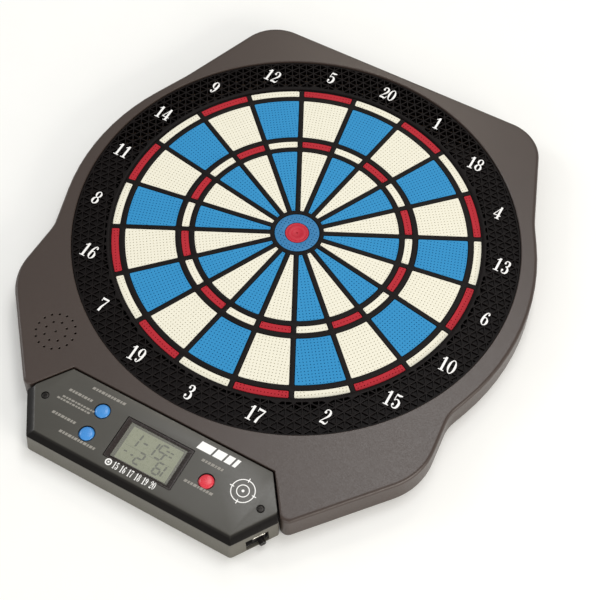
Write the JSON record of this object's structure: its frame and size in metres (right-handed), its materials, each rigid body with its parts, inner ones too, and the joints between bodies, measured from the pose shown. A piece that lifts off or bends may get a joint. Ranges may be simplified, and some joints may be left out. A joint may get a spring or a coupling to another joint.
{
  "type": "electronic dartboard",
  "caption": "Electronic soft-tip dartboard with sprung target segments, a number ring and a control panel with display, buttons and speaker.",
  "frame": {"origin": "on the bull's axis, in the plane of the rear cover's flat back", "axes": "+Z out of the playing face, +Y towards the 20, +X to the player's right"},
  "size_m": [0.4455, 0.5118, 0.0263],
  "materials": {
    "frame_plastic": "satin, warm dark grey",
    "cover_plastic": "matte black",
    "grid_plastic": "satin black",
    "segment_blue": "satin blue, finely perforated",
    "segment_ivory": "satin ivory, finely perforated",
    "bull_red": "satin red, finely perforated",
    "bull_blue": "satin blue, finely perforated",
    "mat_rubber": "matte",
    "sensor_film": "clear polyester film with printed traces",
    "hardboard": "pressed hardboard",
    "speaker_cone": "matte black",
    "foam": "matte foam",
    "module_plastic": "satin grey",
    "smoked_plastic": "smoked glossy",
    "bezel_plastic": "glossy dark brown",
    "window_plastic": "clear",
    "lcd_glass": "grey-green display glass",
    "button_blue": "satin",
    "button_red": "satin",
    "silicone": "matte",
    "board_laminate": "solder-masked laminate",
    "cell_wrap": "printed shrink sleeve",
    "spring_steel": "nickel-plated",
    "jack_plastic": "matte black",
    "screw_steel": "zinc-plated"
  },
  "bodies": {
    "housing": {"front_frame": "frame_plastic", "rear_cover": "cover_plastic", "number_ring": "grid_plastic", "spider_grid": "grid_plastic", "rubber_mat": "mat_rubber", "sensor_membrane": "sensor_film", "backing_board": "hardboard", "speaker": "speaker_cone", "speaker_gasket": "foam", "module_base": "module_plastic", "module_cover": "smoked_plastic", "display_bezel": "bezel_plastic", "display_window": "window_plastic", "lcd_panel": "lcd_glass", "left_button_pad": "silicone", "right_button_pad": "silicone", "control_board": "board_laminate", "cell_1": "cell_wrap", "cell_2": "cell_wrap", "cell_3": "cell_wrap", "left_contacts": "spring_steel", "right_contacts": "spring_steel", "power_jack": "jack_plastic", "rear_screw_1": "screw_steel", "rear_screw_2": "screw_steel", "rear_screw_3": "screw_steel", "rear_screw_4": "screw_steel", "rear_screw_5": "screw_steel", "rear_screw_6": "screw_steel", "left_module_screw": "screw_steel", "right_module_screw": "screw_steel"},
    "sector_20_body": {"sector_20": "segment_blue"},
    "sector_1_body": {"sector_1": "segment_ivory"},
    "sector_18_body": {"sector_18": "segment_blue"},
    "sector_4_body": {"sector_4": "segment_ivory"},
    "sector_13_body": {"sector_13": "segment_blue"},
    "sector_6_body": {"sector_6": "segment_ivory"},
    "sector_10_body": {"sector_10": "segment_blue"},
    "sector_15_body": {"sector_15": "segment_ivory"},
    "sector_2_body": {"sector_2": "segment_blue"},
    "sector_17_body": {"sector_17": "segment_ivory"},
    "sector_3_body": {"sector_3": "segment_blue"},
    "sector_19_body": {"sector_19": "segment_ivory"},
    "sector_7_body": {"sector_7": "segment_blue"},
    "sector_16_body": {"sector_16": "segment_ivory"},
    "sector_8_body": {"sector_8": "segment_blue"},
    "sector_11_body": {"sector_11": "segment_ivory"},
    "sector_14_body": {"sector_14": "segment_blue"},
    "sector_9_body": {"sector_9": "segment_ivory"},
    "sector_12_body": {"sector_12": "segment_blue"},
    "sector_5_body": {"sector_5": "segment_ivory"},
    "outer_bull_body": {"outer_bull": "bull_blue"},
    "inner_bull_body": {"inner_bull": "bull_red"},
    "upper_blue_button_body": {"upper_blue_button": "button_blue"},
    "lower_blue_button_body": {"lower_blue_button": "button_blue"},
    "red_button_body": {"red_button": "button_red"},
    "battery_door_body": {"battery_door": "cover_plastic"}
  },
  "joints": [
    {"name": "sector_20_press", "type": "slide", "parent": "housing", "child": "sector_20_body", "axis": [0, 0, -1], "range_m": [0, 0.0012], "stiffness_N_per_m": 700, "springref_m": -0.0012},
    {"name": "sector_1_press", "type": "slide", "parent": "housing", "child": "sector_1_body", "axis": [0, 0, -1], "range_m": [0, 0.0012], "stiffness_N_per_m": 700, "springref_m": -0.0012},
    {"name": "sector_18_press", "type": "slide", "parent": "housing", "child": "sector_18_body", "axis": [0, 0, -1], "range_m": [0, 0.0012], "stiffness_N_per_m": 700, "springref_m": -0.0012},
    {"name": "sector_4_press", "type": "slide", "parent": "housing", "child": "sector_4_body", "axis": [0, 0, -1], "range_m": [0, 0.0012], "stiffness_N_per_m": 700, "springref_m": -0.0012},
    {"name": "sector_13_press", "type": "slide", "parent": "housing", "child": "sector_13_body", "axis": [0, 0, -1], "range_m": [0, 0.0012], "stiffness_N_per_m": 700, "springref_m": -0.0012},
    {"name": "sector_6_press", "type": "slide", "parent": "housing", "child": "sector_6_body", "axis": [0, 0, -1], "range_m": [0, 0.0012], "stiffness_N_per_m": 700, "springref_m": -0.0012},
    {"name": "sector_10_press", "type": "slide", "parent": "housing", "child": "sector_10_body", "axis": [0, 0, -1], "range_m": [0, 0.0012], "stiffness_N_per_m": 700, "springref_m": -0.0012},
    {"name": "sector_15_press", "type": "slide", "parent": "housing", "child": "sector_15_body", "axis": [0, 0, -1], "range_m": [0, 0.0012], "stiffness_N_per_m": 700, "springref_m": -0.0012},
    {"name": "sector_2_press", "type": "slide", "parent": "housing", "child": "sector_2_body", "axis": [0, 0, -1], "range_m": [0, 0.0012], "stiffness_N_per_m": 700, "springref_m": -0.0012},
    {"name": "sector_17_press", "type": "slide", "parent": "housing", "child": "sector_17_body", "axis": [0, 0, -1], "range_m": [0, 0.0012], "stiffness_N_per_m": 700, "springref_m": -0.0012},
    {"name": "sector_3_press", "type": "slide", "parent": "housing", "child": "sector_3_body", "axis": [0, 0, -1], "range_m": [0, 0.0012], "stiffness_N_per_m": 700, "springref_m": -0.0012},
    {"name": "sector_19_press", "type": "slide", "parent": "housing", "child": "sector_19_body", "axis": [0, 0, -1], "range_m": [0, 0.0012], "stiffness_N_per_m": 700, "springref_m": -0.0012},
    {"name": "sector_7_press", "type": "slide", "parent": "housing", "child": "sector_7_body", "axis": [0, 0, -1], "range_m": [0, 0.0012], "stiffness_N_per_m": 700, "springref_m": -0.0012},
    {"name": "sector_16_press", "type": "slide", "parent": "housing", "child": "sector_16_body", "axis": [0, 0, -1], "range_m": [0, 0.0012], "stiffness_N_per_m": 700, "springref_m": -0.0012},
    {"name": "sector_8_press", "type": "slide", "parent": "housing", "child": "sector_8_body", "axis": [0, 0, -1], "range_m": [0, 0.0012], "stiffness_N_per_m": 700, "springref_m": -0.0012},
    {"name": "sector_11_press", "type": "slide", "parent": "housing", "child": "sector_11_body", "axis": [0, 0, -1], "range_m": [0, 0.0012], "stiffness_N_per_m": 700, "springref_m": -0.0012},
    {"name": "sector_14_press", "type": "slide", "parent": "housing", "child": "sector_14_body", "axis": [0, 0, -1], "range_m": [0, 0.0012], "stiffness_N_per_m": 700, "springref_m": -0.0012},
    {"name": "sector_9_press", "type": "slide", "parent": "housing", "child": "sector_9_body", "axis": [0, 0, -1], "range_m": [0, 0.0012], "stiffness_N_per_m": 700, "springref_m": -0.0012},
    {"name": "sector_12_press", "type": "slide", "parent": "housing", "child": "sector_12_body", "axis": [0, 0, -1], "range_m": [0, 0.0012], "stiffness_N_per_m": 700, "springref_m": -0.0012},
    {"name": "sector_5_press", "type": "slide", "parent": "housing", "child": "sector_5_body", "axis": [0, 0, -1], "range_m": [0, 0.0012], "stiffness_N_per_m": 700, "springref_m": -0.0012},
    {"name": "outer_bull_press", "type": "slide", "parent": "housing", "child": "outer_bull_body", "axis": [0, 0, -1], "range_m": [0, 0.0012], "stiffness_N_per_m": 500, "springref_m": -0.0012},
    {"name": "inner_bull_press", "type": "slide", "parent": "housing", "child": "inner_bull_body", "axis": [0, 0, -1], "range_m": [0, 0.0012], "stiffness_N_per_m": 500, "springref_m": -0.0012},
    {"name": "upper_blue_button_press", "type": "slide", "parent": "housing", "child": "upper_blue_button_body", "axis": [0, 0, -1], "range_m": [0, 0.0008], "stiffness_N_per_m": 800, "springref_m": -0.001},
    {"name": "lower_blue_button_press", "type": "slide", "parent": "housing", "child": "lower_blue_button_body", "axis": [0, 0, -1], "range_m": [0, 0.0008], "stiffness_N_per_m": 800, "springref_m": -0.001},
    {"name": "red_button_press", "type": "slide", "parent": "housing", "child": "red_button_body", "axis": [0, 0, -1], "range_m": [0, 0.0008], "stiffness_N_per_m": 800, "springref_m": -0.001},
    {"name": "battery_door_slide", "type": "slide", "parent": "housing", "child": "battery_door_body", "axis": [1, 0, 0], "range_m": [0, 0.008]}
  ]
}
